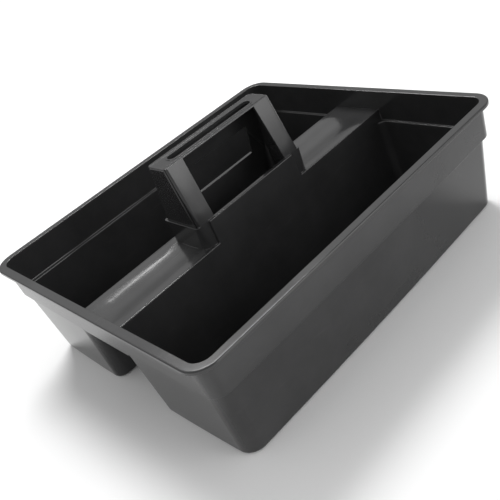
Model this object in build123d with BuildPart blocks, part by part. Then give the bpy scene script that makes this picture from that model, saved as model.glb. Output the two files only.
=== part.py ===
"""Two-compartment cleaning caddy: a moulded tray with a clip-in handle strap.

Frame: origin at the centre of the footprint on the floor, +X along the central ridge, +Y across the
two compartments, +Z up. Millimetres.
"""
import os

from build123d import *

os.makedirs("parts", exist_ok=True)

# ---- driving dimensions -------------------------------------------------------------------------
rim_length = 400.0          # outside of the rim lip, along X
rim_width = 356.0           # outside of the rim lip, along Y
rim_height = 116.5          # floor to the flat top of the rim
overall_height = 179.4      # floor to the top of the grip
wall = 2.5                  # moulded wall thickness

rim_flange = 8.8            # flat flange from the lip to the mouth
rim_corner = 22.0           # plan radius of the lip's corners
rim_round = 1.5             # rounding of the flange's top outer edge
lip_depth = 3.8             # how far the lip turns down
lip_thickness = 2.2
flange_thickness = 2.2

ledge_height = 82.0         # inside ledge where the wall steps in
ledge_width = 3.2
band_draft = 1.0            # how far the upper band leans in, rim to ledge
band_bow = 1.0              # bulge of the upper band at the ledge
rim_bow = 0.1               # and under the rim
corner_radius = 16.0        # plan radius of the lower walls at the tray's corners
inner_corner = 11.0         # plan radius of the bins beside the tunnel
side_bulge = 0.75           # share of the bulge that an end wall has half-way along a bin

base_length = 370.4         # lower walls at the floor, corner to corner
base_width = 321.0
base_bow = 2.4              # outward bulge of the lower walls at the floor
low_bow = 1.6               # and just under the ledge
base_fillet = 3.6

ridge_height = 94.4         # top of the ridge between the bins
ridge_width = 63.2
ridge_round = 0.8           # rounding of its two long edges
divider_draft = 0.10        # sideways run of the divider walls per millimetre of height
valance_height = 71.0       # lower edge of the end walls over the tunnel mouth
tunnel_roof = 87.0

trough_half = 21.6          # shallow trough along the top of the ridge
trough_depth = 2.2          # its deepest place, near the pedestal
trough_start_depth = 1.2    # at the pedestal itself
trough_run_depth = 1.8      # where it begins to run out
trough_end_depth = 0.4      # at the end walls
trough_start = 20.0         # pedestal to the deepest place
trough_run_out = 28.0       # length over which it runs out

pedestal_length = 146.0     # raised box that carries the handle
pedestal_height = 118.6
post_corner_foot = 10.0     # plan radius of its corner posts on the ridge
post_corner_top = 3.5       # and under the legs of the handle
panel_length_foot = 120.0   # long walls between the posts, which carry on the divider walls
panel_length_top = 116.8
panel_step = 2.1            # how far these walls stand proud of the posts
panel_round = 1.2
sill_round = 0.8            # rounding of their upper outer edge

grip_width = 29.0           # across the two side plates at the top
grip_offset = 1.0           # the plate with the palm skirt is thicker at the top
plate_top = 178.6           # top edge of the side plates
plate_length_top = 134.8    # side plates along X, at the grip
plate_length_foot = 140.0   # and at the pedestal
plate_corner = 2.0
plate_corner_foot = 3.0
plate_corner_inside = 1.0
window_top_near = 177.4     # finger opening, open side
window_top_far = 151.0      # finger opening, side with the palm skirt
window_half_top = 47.0
window_half_sill = 50.0
window_half_far = 51.0      # the side with the skirt has upright ends

seam_gap = 0.2              # clearance between the strap and the tray
strap_half_top = 10.6       # strap half-width at the grip
strap_half_foot = 22.6      # strap half-width at the pedestal
strap_end_top = 69.0        # strap outside face from the centre, at the grip
strap_end_foot = 71.2       # and at the pedestal
strap_wall = 2.6
strap_round = 2.0
slot_length = 107.0
slot_width = 11.4
slot_bead = 1.9
bead_height = 0.5

tab_width = 20.0            # snap tab under each foot of the strap
tab_thickness = 2.0
tab_length = 17.0
catch_height = 109.0        # catch rib inside the pedestal's end wall
catch_depth = 3.0
catch_thickness = 2.2
catch_width = 24.0
barb_depth = 1.8
barb_height = 3.0

overlap = 0.3               # how far neighbouring blocks run into each other before they are joined

# ---- derived sizes ------------------------------------------------------------------------------
mouth_length = rim_length - 2 * rim_flange
mouth_width = rim_width - 2 * rim_flange
mouth_corner = rim_corner - rim_flange
band_length = mouth_length + 2 * wall
band_width = mouth_width + 2 * wall
band_corner = mouth_corner + wall
step_height = ledge_height - wall
low_length = band_length - 2 * band_draft - 2 * ledge_width
low_width = band_width - 2 * band_draft - 2 * ledge_width
ridge_half = ridge_width / 2
end_face = low_length / 2 + low_bow      # end wall's outside where the tunnel runs out


def divider(height):
    """Distance of the divider's bin-side face from the centre plane at a height."""
    return ridge_half + divider_draft * (ridge_height - height)


panel_start = ridge_height - 2 * ridge_round
pedestal_width = 2 * divider(pedestal_height)
post_width_foot = ridge_width - 2 * panel_step
post_width_top = pedestal_width - 2 * panel_step
well_width_foot = 2 * (divider(tunnel_roof) - panel_step - wall)


def bowed_outline(height, length, width, bow, radius):
    """Rounded rectangle in plan whose four sides bulge outwards by bow at the middle."""
    half_x = length / 2
    half_y = width / 2
    with BuildSketch(Plane.XY.offset(height)) as outline:
        with BuildLine():
            ThreePointArc((-half_x, -half_y), (0, -half_y - bow), (half_x, -half_y))
            ThreePointArc((half_x, -half_y), (half_x + bow, 0), (half_x, half_y))
            ThreePointArc((half_x, half_y), (0, half_y + bow), (-half_x, half_y))
            ThreePointArc((-half_x, half_y), (-half_x - bow, 0), (-half_x, -half_y))
        make_face()
        fillet(outline.vertices(), radius)
    return outline.sketch


def bin_outline(side, height, length, width, bow, inset):
    """Plan of one bin: the bowed outline beyond the divider wall, set in by inset all round."""
    half_x = length / 2 - inset
    half_y = width / 2 - inset
    inner = divider(height) - wall + inset
    side_x = half_x + side_bulge * bow
    side_y = side * (half_y + inner) / 2
    with BuildSketch(Plane.XY.offset(height)) as outline:
        with BuildLine():
            ThreePointArc((-half_x, side * half_y), (0, side * (half_y + bow)), (half_x, side * half_y))
            ThreePointArc((half_x, side * half_y), (side_x, side_y), (half_x + bow, side * inner))
            Line((half_x + bow, side * inner), (-half_x - bow, side * inner))
            ThreePointArc((-half_x - bow, side * inner), (-side_x, side_y), (-half_x, side * half_y))
        make_face()
        fillet(outline.vertices().sort_by(Axis.Y)[::side][:2], inner_corner - inset)
        fillet(outline.vertices().sort_by(Axis.Y)[::side][-2:], corner_radius - inset)
    return outline.sketch


# ---- tray: rim, walls, two bins, ridge, pedestal and handle side plates in one moulding -----------
with BuildPart() as tray:
    # lower walls of the two bins, with rounded floor edges
    for side in (-1, 1):
        floor_outline = bin_outline(side, 0, base_length, base_width, base_bow, 0)
        ledge_outline = bin_outline(side, ledge_height, low_length, low_width, low_bow, 0)
        loft(sections=[floor_outline, ledge_outline], ruled=True)
    fillet(tray.faces().filter_by(Axis.Z).group_by(Axis.Z)[0].edges(), base_fillet)
    # valances: the end walls run on over the tunnel mouth
    for end in (-1, 1):
        with BuildSketch(Plane.YZ.offset(end * (end_face - wall))):
            with Locations((0, (valance_height + ledge_height) / 2)):
                Rectangle(2 * divider(valance_height) + inner_corner, ledge_height - valance_height)
        extrude(amount=end * (wall - overlap))
    # upper band and rim flange
    loft(
        sections=[
            bowed_outline(
                step_height,
                band_length - 2 * band_draft,
                band_width - 2 * band_draft,
                band_bow,
                band_corner,
            ),
            bowed_outline(rim_height, band_length, band_width, rim_bow, band_corner),
        ],
        ruled=True,
    )
    with BuildSketch(Plane.XY.offset(rim_height - lip_depth)):
        RectangleRounded(rim_length, rim_width, rim_corner)
        RectangleRounded(
            rim_length - 2 * lip_thickness,
            rim_width - 2 * lip_thickness,
            rim_corner - lip_thickness,
            mode=Mode.SUBTRACT,
        )
    extrude(amount=lip_depth)
    with BuildSketch(Plane.XY.offset(rim_height - flange_thickness)):
        RectangleRounded(rim_length, rim_width, rim_corner)
    extrude(amount=flange_thickness)
    fillet(tray.faces().sort_by(Axis.Z)[-1].outer_wire().edges(), rim_round)
    # mouth down to the ledge
    loft(
        sections=[
            bowed_outline(
                ledge_height,
                mouth_length - 2 * band_draft,
                mouth_width - 2 * band_draft,
                band_bow,
                mouth_corner,
            ),
            bowed_outline(rim_height, mouth_length, mouth_width, rim_bow, mouth_corner),
        ],
        ruled=True,
        mode=Mode.SUBTRACT,
    )
    # insides of the two bins
    for side in (-1, 1):
        floor_outline = bin_outline(side, wall, base_length, base_width, base_bow, wall)
        ledge_outline = bin_outline(side, ledge_height, low_length, low_width, low_bow, wall)
        loft(sections=[floor_outline, ledge_outline], ruled=True, mode=Mode.SUBTRACT)
    # ridge over the tunnel
    with BuildSketch(Plane.YZ) as ridge_end:
        Polygon(
            (-divider(step_height), step_height),
            (divider(step_height), step_height),
            (ridge_half, ridge_height),
            (-ridge_half, ridge_height),
            align=None,
        )
        fillet(ridge_end.vertices().group_by(Axis.Y)[-1], ridge_round)
    extrude(amount=mouth_length / 2 + overlap, both=True)
    # pedestal on the ridge: a box with corner posts
    with BuildSketch(Plane.XY.offset(ridge_height)):
        RectangleRounded(pedestal_length, post_width_foot, post_corner_foot)
    with BuildSketch(Plane.XY.offset(pedestal_height)):
        RectangleRounded(pedestal_length, post_width_top, post_corner_top)
    loft(ruled=True)
    # its long walls, which carry on the divider walls between the posts
    with BuildSketch(Plane.XY.offset(panel_start)):
        RectangleRounded(panel_length_foot, 2 * divider(panel_start), panel_round)
    with BuildSketch(Plane.XY.offset(pedestal_height)):
        RectangleRounded(panel_length_top, pedestal_width, panel_round)
    loft(ruled=True)
    # tunnel roof, from end wall to end wall
    with BuildSketch(Plane.YZ):
        Polygon(
            (-divider(valance_height) + wall, valance_height),
            (divider(valance_height) - wall, valance_height),
            (divider(tunnel_roof) - wall, tunnel_roof),
            (-divider(tunnel_roof) + wall, tunnel_roof),
            align=None,
        )
    extrude(amount=end_face - wall, both=True, mode=Mode.SUBTRACT)
    # side plates of the handle: two leaning frames that carry on the posts
    with BuildSketch(Plane.XY.offset(pedestal_height)):
        RectangleRounded(plate_length_foot, post_width_top, plate_corner_foot)
    with BuildSketch(Plane.XY.offset(plate_top)):
        with Locations((0, grip_offset)):
            RectangleRounded(plate_length_top, grip_width, plate_corner)
    loft(ruled=True)
    # inside of the handle, open upwards
    with BuildSketch(Plane.XY.offset(pedestal_height)):
        RectangleRounded(plate_length_foot - 2 * wall, post_width_top - 2 * wall, plate_corner_inside)
    with BuildSketch(Plane.XY.offset(plate_top)):
        RectangleRounded(plate_length_top - 2 * wall, 2 * strap_half_top, plate_corner_inside)
    loft(ruled=True, mode=Mode.SUBTRACT)
    # inside of the pedestal, open to the tunnel
    with BuildSketch(Plane.XY.offset(tunnel_roof)):
        RectangleRounded(pedestal_length - 2 * wall, well_width_foot, post_corner_foot - wall)
    with BuildSketch(Plane.XY.offset(pedestal_height)):
        RectangleRounded(pedestal_length - 2 * wall, post_width_top - 2 * wall, post_corner_top - wall)
    loft(ruled=True, mode=Mode.SUBTRACT)
    # room for the strap: the whole wedge between the two seam planes
    with BuildSketch(Plane.YZ):
        Polygon(
            (-strap_half_foot - seam_gap, pedestal_height),
            (strap_half_foot + seam_gap, pedestal_height),
            (strap_half_top + seam_gap, plate_top),
            (-strap_half_top - seam_gap, plate_top),
            align=None,
        )
    extrude(amount=pedestal_length, both=True, mode=Mode.SUBTRACT)
    # finger openings in the two plates
    openings = (
        (-1, window_top_near, window_half_top, window_half_sill),
        (1, window_top_far, window_half_far, window_half_far),
    )
    for side, window_top, half_top, half_sill in openings:
        with BuildSketch(Plane.XZ):
            Polygon(
                (-half_sill, pedestal_height),
                (half_sill, pedestal_height),
                (half_top, window_top),
                (-half_top, window_top),
                align=None,
            )
        extrude(amount=-side * ridge_width, mode=Mode.SUBTRACT)
    # catch ribs for the strap's snap tabs
    for end in (-1, 1):
        with BuildSketch(Plane.XY.offset(catch_height - catch_thickness)):
            with Locations((end * (pedestal_length / 2 - wall + (overlap - catch_depth) / 2), 0)):
                Rectangle(catch_depth + overlap, catch_width)
        extrude(amount=catch_thickness)

# shallow troughs along the ridge, from the pedestal to the end walls
trough_sections = (
    (pedestal_length / 2, trough_start_depth),
    (pedestal_length / 2 + trough_start, trough_depth),
    (mouth_length / 2 - trough_run_out, trough_run_depth),
    (mouth_length / 2, trough_end_depth),
)
with BuildPart() as troughs:
    for end in (-1, 1):
        for place, depth in trough_sections:
            with BuildSketch(Plane.YZ.offset(end * place)):
                with BuildLine():
                    ThreePointArc(
                        (-trough_half, ridge_height),
                        (0, ridge_height - depth),
                        (trough_half, ridge_height),
                    )
                    Line((trough_half, ridge_height), (-trough_half, ridge_height))
                make_face()
        loft(ruled=True)

with BuildPart() as finished_tray:
    add(tray.part)
    add(troughs.part, mode=Mode.SUBTRACT)
    # rounded outer edges of the sills
    long_edges = finished_tray.edges().filter_by(Axis.X)
    sill_band = (pedestal_height - overlap, pedestal_height + overlap)
    sill_edges = long_edges.filter_by_position(Axis.Z, *sill_band).group_by(Axis.Y)
    fillet(sill_edges[0] + sill_edges[-1], sill_round)
# ---- handle strap: grip and two end walls in one bent strip, snapped in between the plates -------
with BuildPart() as handle_strap:
    # outside shape seen from the long side
    with BuildSketch(Plane.XZ):
        Polygon(
            (-strap_end_foot, pedestal_height + seam_gap),
            (strap_end_foot, pedestal_height + seam_gap),
            (strap_end_top, overall_height - bead_height),
            (-strap_end_top, overall_height - bead_height),
            align=None,
        )
        Polygon(
            (-strap_end_foot + strap_wall, pedestal_height + seam_gap),
            (strap_end_foot - strap_wall, pedestal_height + seam_gap),
            (strap_end_top - strap_wall, overall_height - bead_height - strap_wall),
            (-strap_end_top + strap_wall, overall_height - bead_height - strap_wall),
            align=None,
            mode=Mode.SUBTRACT,
        )
    extrude(amount=ridge_half, both=True)
    fillet(handle_strap.edges().filter_by(Axis.Y).group_by(Axis.Z)[-1], strap_round)
    # outside shape seen from the end: it narrows towards the grip
    with BuildSketch(Plane.YZ):
        Polygon(
            (-strap_half_foot, pedestal_height),
            (strap_half_foot, pedestal_height),
            (strap_half_top, overall_height),
            (-strap_half_top, overall_height),
            align=None,
        )
    extrude(amount=pedestal_length, both=True, mode=Mode.INTERSECT)
    # bead around the slot, then the slot itself
    with BuildSketch(Plane.XY.offset(overall_height - bead_height - overlap)):
        SlotOverall(slot_length + 2 * slot_bead, slot_width + 2 * slot_bead)
    extrude(amount=bead_height + overlap)
    with BuildSketch(Plane.XY.offset(overall_height)):
        SlotOverall(slot_length, slot_width)
    extrude(amount=-3 * strap_wall, mode=Mode.SUBTRACT)
    # snap tabs with barbs that hook under the catch ribs
    for end in (-1, 1):
        tab_outer = pedestal_length / 2 - wall - catch_depth - seam_gap
        barb_top = catch_height - catch_thickness - seam_gap
        shelf_outer = strap_end_foot - strap_wall / 2
        with BuildSketch(Plane.XZ):
            Polygon(
                (end * (tab_outer - tab_thickness), pedestal_height + strap_wall),
                (end * shelf_outer, pedestal_height + strap_wall),
                (end * shelf_outer, pedestal_height + seam_gap),
                (end * tab_outer, pedestal_height + seam_gap),
                (end * tab_outer, barb_top),
                (end * (tab_outer + barb_depth), barb_top),
                (end * tab_outer, barb_top - barb_height),
                (end * tab_outer, pedestal_height - tab_length),
                (end * (tab_outer - tab_thickness), pedestal_height - tab_length),
                align=None,
            )
        extrude(amount=tab_width / 2, both=True)

finished_tray.part.label = "tray"
export_step(finished_tray.part, "parts/tray.step")
handle_strap.part.label = "handle_strap"
export_step(handle_strap.part, "parts/handle_strap.step")
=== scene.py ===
"""Looks of the two-compartment cleaning caddy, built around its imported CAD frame. Metres."""
import math

import bmesh
import bpy
from mathutils import Matrix, Vector


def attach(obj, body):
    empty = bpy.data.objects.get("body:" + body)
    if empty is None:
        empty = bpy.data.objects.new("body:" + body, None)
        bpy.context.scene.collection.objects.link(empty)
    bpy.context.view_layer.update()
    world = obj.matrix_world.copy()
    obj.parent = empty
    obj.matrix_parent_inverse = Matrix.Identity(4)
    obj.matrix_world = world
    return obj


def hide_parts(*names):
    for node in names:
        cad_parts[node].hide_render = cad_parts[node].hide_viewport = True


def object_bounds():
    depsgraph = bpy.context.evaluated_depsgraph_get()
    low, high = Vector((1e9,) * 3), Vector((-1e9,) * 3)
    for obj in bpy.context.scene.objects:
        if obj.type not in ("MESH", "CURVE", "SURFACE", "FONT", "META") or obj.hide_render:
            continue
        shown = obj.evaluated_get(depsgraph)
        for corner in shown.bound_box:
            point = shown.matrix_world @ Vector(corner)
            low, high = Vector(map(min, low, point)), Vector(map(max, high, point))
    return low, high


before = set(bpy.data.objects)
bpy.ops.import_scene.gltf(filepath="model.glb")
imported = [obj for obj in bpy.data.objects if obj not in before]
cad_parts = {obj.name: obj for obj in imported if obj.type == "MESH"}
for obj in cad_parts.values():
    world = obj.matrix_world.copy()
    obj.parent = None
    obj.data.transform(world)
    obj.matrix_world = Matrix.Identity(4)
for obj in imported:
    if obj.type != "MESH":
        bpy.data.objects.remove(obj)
cad_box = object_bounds()

# ---- camera: the photograph's view, solved from the rim, walls, ridge and handle -----------------
CAMERA_AT = Vector((-0.3316, -0.5402, 0.4239))
LOOK = Vector((0.476, 0.694, -0.540)).normalized()
IMAGE_RIGHT = Vector((0.648, -0.692, -0.318))
SENSOR_MM = 36.0
LENS_MM = 50.71
SHIFT_X = -0.0914
SHIFT_Y = -0.001
CLIP_START = 0.01

# ---- studio --------------------------------------------------------------------------------------
FLOOR_SIZE = 12.0
FLOOR_WHITE = 0.93
FLOOR_ROUGHNESS = 0.8
FLOOR_GLOSS = 0.2
SOFTBOX_AZIMUTH = 62.0   # degrees
SOFTBOX_ELEVATION = 53.0
SOFTBOX_DISTANCE = 3.2
SOFTBOX_SIZE = (1.28, 1.0)
SOFTBOX_RADIANCE = 20.0
SOFTBOX_AIM = Vector((0, 0, 0.08))  # middle of the caddy
SURROUND = ((0, 0.35), (20, 0.4), (28, 0.85), (36, 0.9), (42, 0.5), (70, 0.6))  # degrees up, radiance
REFLECTOR_AT = Vector((0.42, -0.9, 0.24))
REFLECTOR_SPREAD = 24.0  # degrees from its middle to where it has faded out
REFLECTOR_RADIANCE = 3.4

# ---- softened edges ------------------------------------------------------------------------------
WELD = 2e-6              # vertices closer than this are one
EDGE_ANGLE = 32.0        # degrees between faces from which an edge counts as sharp
EDGE_ROUND = 4e-4        # rounding of the tray's moulded edges
STRAP_ROUND = 2.2e-4     # and of the strap's, whose bead round the slot is low
LEDGE_ROUND = 1.2e-3     # rounding of the ledge inside the bins
LEDGE_HEIGHT = 0.082
LEDGE_TOLERANCE = 2e-4
ROUND_SEGMENTS = 3
EDGE_SHARE = 0.7         # most of a neighbouring face's width that a rounding may use
STRAIGHT_ON = 150.0      # degrees between two edges from which one runs on as the other

# ---- plastic -------------------------------------------------------------------------------------
PLASTIC_IOR = 1.5
GLOSS_ROUGHNESS = 0.14
TRAY_BASE = 0.03
STRAP_BASE = 0.031
GRAIN_SCALE = 1400.0     # texture scales are waves per metre
GRAIN_DETAIL = (3.0, 0.5)                # octaves of the noise, and how rough they are
GRAIN_STRENGTH = 0.015
GRAIN_DEPTH = 2e-4
CLOUD_SCALE = 16.0
CLOUD_DETAIL = (5.0, 0.6)
CLOUD_DARK, CLOUD_PALE = 0.8, 1.2        # tone of the clouds, times the base
BLUE_DARK, BLUE_PALE = 0.82, 1.22        # their blue
CLOUD_RANGE = (0.3, 0.7)                 # texture values that the clouds run between
CLOUD_GLOSS, CLOUD_DULL = 0.85, 1.15     # roughness of the clouds, times the base
SINK_SCALE = 9.0
SINK_DETAIL = (1.0, 0.5)
SINK_DEPTH = 5e-4
SCUFF_SCALE = (30.0, 420.0, 160.0)
SCUFF_DETAIL = (4.0, 0.7)
SCUFF_TONE = 2.0                         # times the base
SCUFF_MOST = 0.3                         # most that a scuff covers
SCUFF_DULL = 0.06                        # roughness that a scuff adds
SCUFF_PALE_RANGE = (0.6, 0.85)
SCUFF_DULL_RANGE = (0.55, 0.85)


def grey(level, blue=None):
    """Opaque grey, with its blue a little different if that is given."""
    return (level, level, level if blue is None else blue, 1)


def add_camera():
    """Pinhole camera, rolled a little, as the caddy was photographed."""
    data = bpy.data.cameras.new("camera")
    data.sensor_width = SENSOR_MM
    data.lens = LENS_MM
    data.shift_x = SHIFT_X
    data.shift_y = SHIFT_Y
    data.clip_start = CLIP_START
    back = -LOOK
    right = (IMAGE_RIGHT - IMAGE_RIGHT.dot(back) * back).normalized()
    up = back.cross(right)
    rows = Matrix((right, up, back)).transposed().to_4x4()
    camera = bpy.data.objects.new("camera", data)
    camera.matrix_world = Matrix.Translation(CAMERA_AT) @ rows
    bpy.context.collection.objects.link(camera)
    bpy.context.scene.camera = camera


def add_softbox(name, azimuth, elevation, distance, size, radiance):
    """Rectangular studio light at a direction from the caddy, in degrees, facing it."""
    data = bpy.data.lights.new(name, "AREA")
    data.shape = "RECTANGLE"
    data.size, data.size_y = size
    data.energy = radiance * math.pi * size[0] * size[1]
    light = bpy.data.objects.new(name, data)
    a, e = math.radians(azimuth), math.radians(elevation)
    away = Vector((math.cos(a) * math.cos(e), math.sin(a) * math.cos(e), math.sin(e)))
    light.location = SOFTBOX_AIM + away * distance
    light.rotation_euler = away.to_track_quat("Z", "Y").to_euler()
    light.visible_camera = False
    bpy.context.collection.objects.link(light)


def add_floor():
    """Plain white floor, wide enough to fill the view."""
    bpy.ops.mesh.primitive_plane_add(size=FLOOR_SIZE, location=(0, 0, cad_box[0][2]))
    floor = bpy.context.object
    floor.name = "studio_floor"
    material = bpy.data.materials.new("studio_floor")
    material.use_nodes = True
    shader = material.node_tree.nodes["Principled BSDF"]
    shader.inputs["Base Color"].default_value = grey(FLOOR_WHITE)
    shader.inputs["Roughness"].default_value = FLOOR_ROUGHNESS
    shader.inputs["Specular IOR Level"].default_value = FLOOR_GLOSS
    floor.data.materials.append(material)


def add_surround():
    """Studio surround, brightest some way above the horizon, with a reflector and a backdrop."""
    world = bpy.data.worlds.new("studio")
    world.use_nodes = True
    nodes, links = world.node_tree.nodes, world.node_tree.links
    direction = nodes.new("ShaderNodeTexCoord")
    height = nodes.new("ShaderNodeSeparateXYZ")
    ramp = nodes.new("ShaderNodeValToRGB")
    links.new(direction.outputs["Generated"], height.inputs["Vector"])
    links.new(height.outputs["Z"], ramp.inputs["Fac"])
    # the new stops are put in their places just below
    while len(ramp.color_ramp.elements) < len(SURROUND):
        ramp.color_ramp.elements.new(0.5)
    for stop, (elevation, radiance) in zip(ramp.color_ramp.elements, SURROUND):
        stop.position = math.sin(math.radians(elevation))
        stop.color = grey(radiance)
    # a bright reflector low down beyond the open side, seen in the legs of the handle
    toward = nodes.new("ShaderNodeVectorMath")
    toward.operation = "DOT_PRODUCT"
    toward.inputs[1].default_value = REFLECTOR_AT.normalized()
    links.new(direction.outputs["Generated"], toward.inputs[0])
    patch = nodes.new("ShaderNodeMapRange")
    patch.interpolation_type = "SMOOTHSTEP"
    patch.inputs["From Min"].default_value = math.cos(math.radians(REFLECTOR_SPREAD))
    patch.inputs["From Max"].default_value = math.cos(math.radians(REFLECTOR_SPREAD / 2))
    patch.inputs["To Max"].default_value = REFLECTOR_RADIANCE
    links.new(toward.outputs["Value"], patch.inputs["Value"])
    total = nodes.new("ShaderNodeMix")
    total.data_type = "RGBA"
    total.blend_type = "ADD"
    total.inputs["Factor"].default_value = 1.0
    links.new(ramp.outputs["Color"], total.inputs["A"])
    links.new(patch.outputs["Result"], total.inputs["B"])
    links.new(total.outputs["Result"], nodes["Background"].inputs["Color"])
    # seen directly, the surround is a plain white backdrop
    backdrop = nodes.new("ShaderNodeBackground")
    backdrop.inputs["Color"].default_value = grey(1.0)
    seen = nodes.new("ShaderNodeLightPath")
    either = nodes.new("ShaderNodeMixShader")
    links.new(seen.outputs["Is Camera Ray"], either.inputs["Fac"])
    links.new(nodes["Background"].outputs["Background"], either.inputs[1])
    links.new(backdrop.outputs["Background"], either.inputs[2])
    links.new(either.outputs["Shader"], nodes["World Output"].inputs["Surface"])
    bpy.context.scene.world = world


def mapped_noise(nodes, links, coordinates, scale, detail):
    """Noise texture on the object's own coordinates; scale is one number or one per axis."""
    noise = nodes.new("ShaderNodeTexNoise")
    noise.inputs["Detail"].default_value, noise.inputs["Roughness"].default_value = detail
    if isinstance(scale, tuple):
        mapping = nodes.new("ShaderNodeMapping")
        mapping.inputs["Scale"].default_value = scale
        links.new(coordinates.outputs["Object"], mapping.inputs["Vector"])
        links.new(mapping.outputs["Vector"], noise.inputs["Vector"])
        noise.inputs["Scale"].default_value = 1.0
    else:
        links.new(coordinates.outputs["Object"], noise.inputs["Vector"])
        noise.inputs["Scale"].default_value = scale
    return noise


def ranged(nodes, links, source, low, high, source_range):
    """A texture's value stretched to run from low to high."""
    spread = nodes.new("ShaderNodeMapRange")
    spread.inputs["From Min"].default_value, spread.inputs["From Max"].default_value = source_range
    spread.inputs["To Min"].default_value = low
    spread.inputs["To Max"].default_value = high
    links.new(source, spread.inputs["Value"])
    return spread.outputs["Result"]


def plastic(name, base, roughness):
    """Moulded black plastic: fine grain, shallow sink marks, flow clouds and handling scuffs."""
    material = bpy.data.materials.new(name)
    material.use_nodes = True
    nodes = material.node_tree.nodes
    links = material.node_tree.links
    shader = nodes["Principled BSDF"]
    shader.inputs["IOR"].default_value = PLASTIC_IOR
    coordinates = nodes.new("ShaderNodeTexCoord")
    grain = mapped_noise(nodes, links, coordinates, GRAIN_SCALE, GRAIN_DETAIL)
    cloud = mapped_noise(nodes, links, coordinates, CLOUD_SCALE, CLOUD_DETAIL)
    sink = mapped_noise(nodes, links, coordinates, SINK_SCALE, SINK_DETAIL)
    scuff = mapped_noise(nodes, links, coordinates, SCUFF_SCALE, SCUFF_DETAIL)

    # tone: cloudy, and a little greyer where it is scuffed
    tone = nodes.new("ShaderNodeValToRGB")
    dark, pale = tone.color_ramp.elements
    dark.position, pale.position = CLOUD_RANGE
    dark.color = grey(base * CLOUD_DARK, base * BLUE_DARK)
    pale.color = grey(base * CLOUD_PALE, base * BLUE_PALE)
    links.new(cloud.outputs["Fac"], tone.inputs["Fac"])
    wear = nodes.new("ShaderNodeMix")
    wear.data_type = "RGBA"
    wear.inputs["B"].default_value = grey(base * SCUFF_TONE)
    worn = ranged(nodes, links, scuff.outputs["Fac"], 0.0, SCUFF_MOST, SCUFF_PALE_RANGE)
    links.new(worn, wear.inputs["Factor"])
    links.new(tone.outputs["Color"], wear.inputs["A"])
    links.new(wear.outputs["Result"], shader.inputs["Base Color"])

    # gloss: the clouds and the scuffs dull it a little
    dulled = nodes.new("ShaderNodeMath")
    dulled.operation = "ADD"
    glossy, dull = roughness * CLOUD_GLOSS, roughness * CLOUD_DULL
    cloudy = ranged(nodes, links, cloud.outputs["Fac"], glossy, dull, CLOUD_RANGE)
    scuffed = ranged(nodes, links, scuff.outputs["Fac"], 0.0, SCUFF_DULL, SCUFF_DULL_RANGE)
    links.new(cloudy, dulled.inputs[0])
    links.new(scuffed, dulled.inputs[1])
    links.new(dulled.outputs["Value"], shader.inputs["Roughness"])

    # relief: broad sink marks under a fine grain
    sinks = nodes.new("ShaderNodeBump")
    sinks.inputs["Strength"].default_value = 1.0
    sinks.inputs["Distance"].default_value = SINK_DEPTH
    links.new(sink.outputs["Fac"], sinks.inputs["Height"])
    grained = nodes.new("ShaderNodeBump")
    grained.inputs["Strength"].default_value = GRAIN_STRENGTH
    grained.inputs["Distance"].default_value = GRAIN_DEPTH
    links.new(grain.outputs["Fac"], grained.inputs["Height"])
    links.new(sinks.outputs["Normal"], grained.inputs["Normal"])
    links.new(grained.outputs["Normal"], shader.inputs["Normal"])
    return material


def has_room(edge, rounding, is_sharp):
    """Whether the faces at both ends of an edge reach far enough beside it to be rounded."""
    for vert in edge.verts:
        along = (edge.other_vert(vert).co - vert.co).normalized()
        for other in vert.link_edges:
            if other == edge or not set(other.link_faces) & set(edge.link_faces):
                continue
            reach = other.other_vert(vert).co - vert.co
            if is_sharp[other.index] and along.angle(reach) > math.radians(STRAIGHT_ON):
                continue
            if EDGE_SHARE * along.cross(reach).length < rounding:
                return False
    return True


def moulded(node, material, edge_round):
    """Copy of a CAD solid with its edges softened like a moulding's, which stands in for it."""
    mesh = node.data.copy()
    welded = bmesh.new()
    welded.from_mesh(mesh)
    bmesh.ops.remove_doubles(welded, verts=welded.verts, dist=WELD)
    weight = welded.edges.layers.float.new("bevel_weight_edge")
    welded.edges.index_update()
    for face in welded.faces:
        face.smooth = True
    is_sharp = [edge.calc_face_angle(0) > math.radians(EDGE_ANGLE) for edge in welded.edges]
    for edge, sharp in zip(welded.edges, is_sharp):
        edge.smooth = not sharp
        if sharp:
            on_ledge = all(abs(vert.co.z - LEDGE_HEIGHT) < LEDGE_TOLERANCE for vert in edge.verts)
            rounding = LEDGE_ROUND if on_ledge else edge_round
            edge[weight] = has_room(edge, rounding, is_sharp) * rounding / LEDGE_ROUND
    welded.to_mesh(mesh)
    welded.free()
    if "custom_normal" in mesh.attributes:
        mesh.attributes.remove(mesh.attributes["custom_normal"])
    mesh.materials.clear()
    mesh.materials.append(material)
    piece = bpy.data.objects.new(node.name + "_moulded", mesh)
    piece.matrix_world = node.matrix_world
    bpy.context.collection.objects.link(piece)
    soften = piece.modifiers.new("edges", "BEVEL")
    soften.width = LEDGE_ROUND
    soften.segments = ROUND_SEGMENTS
    soften.limit_method = "WEIGHT"
    soften.use_clamp_overlap = False
    soften.miter_outer = "MITER_ARC"
    shading = piece.modifiers.new("shading", "WEIGHTED_NORMAL")
    shading.keep_sharp = True
    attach(piece, "root")
    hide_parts(node.name)


add_camera()
add_floor()
add_surround()
add_softbox(
    "overhead", SOFTBOX_AZIMUTH, SOFTBOX_ELEVATION, SOFTBOX_DISTANCE, SOFTBOX_SIZE, SOFTBOX_RADIANCE
)
bpy.context.scene.view_settings.view_transform = "Standard"

tray_plastic = plastic("tray_plastic", TRAY_BASE, GLOSS_ROUGHNESS)
strap_plastic = plastic("strap_plastic", STRAP_BASE, GLOSS_ROUGHNESS)
moulded(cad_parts["tray"], tray_plastic, EDGE_ROUND)
moulded(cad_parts["handle_strap"], strap_plastic, STRAP_ROUND)
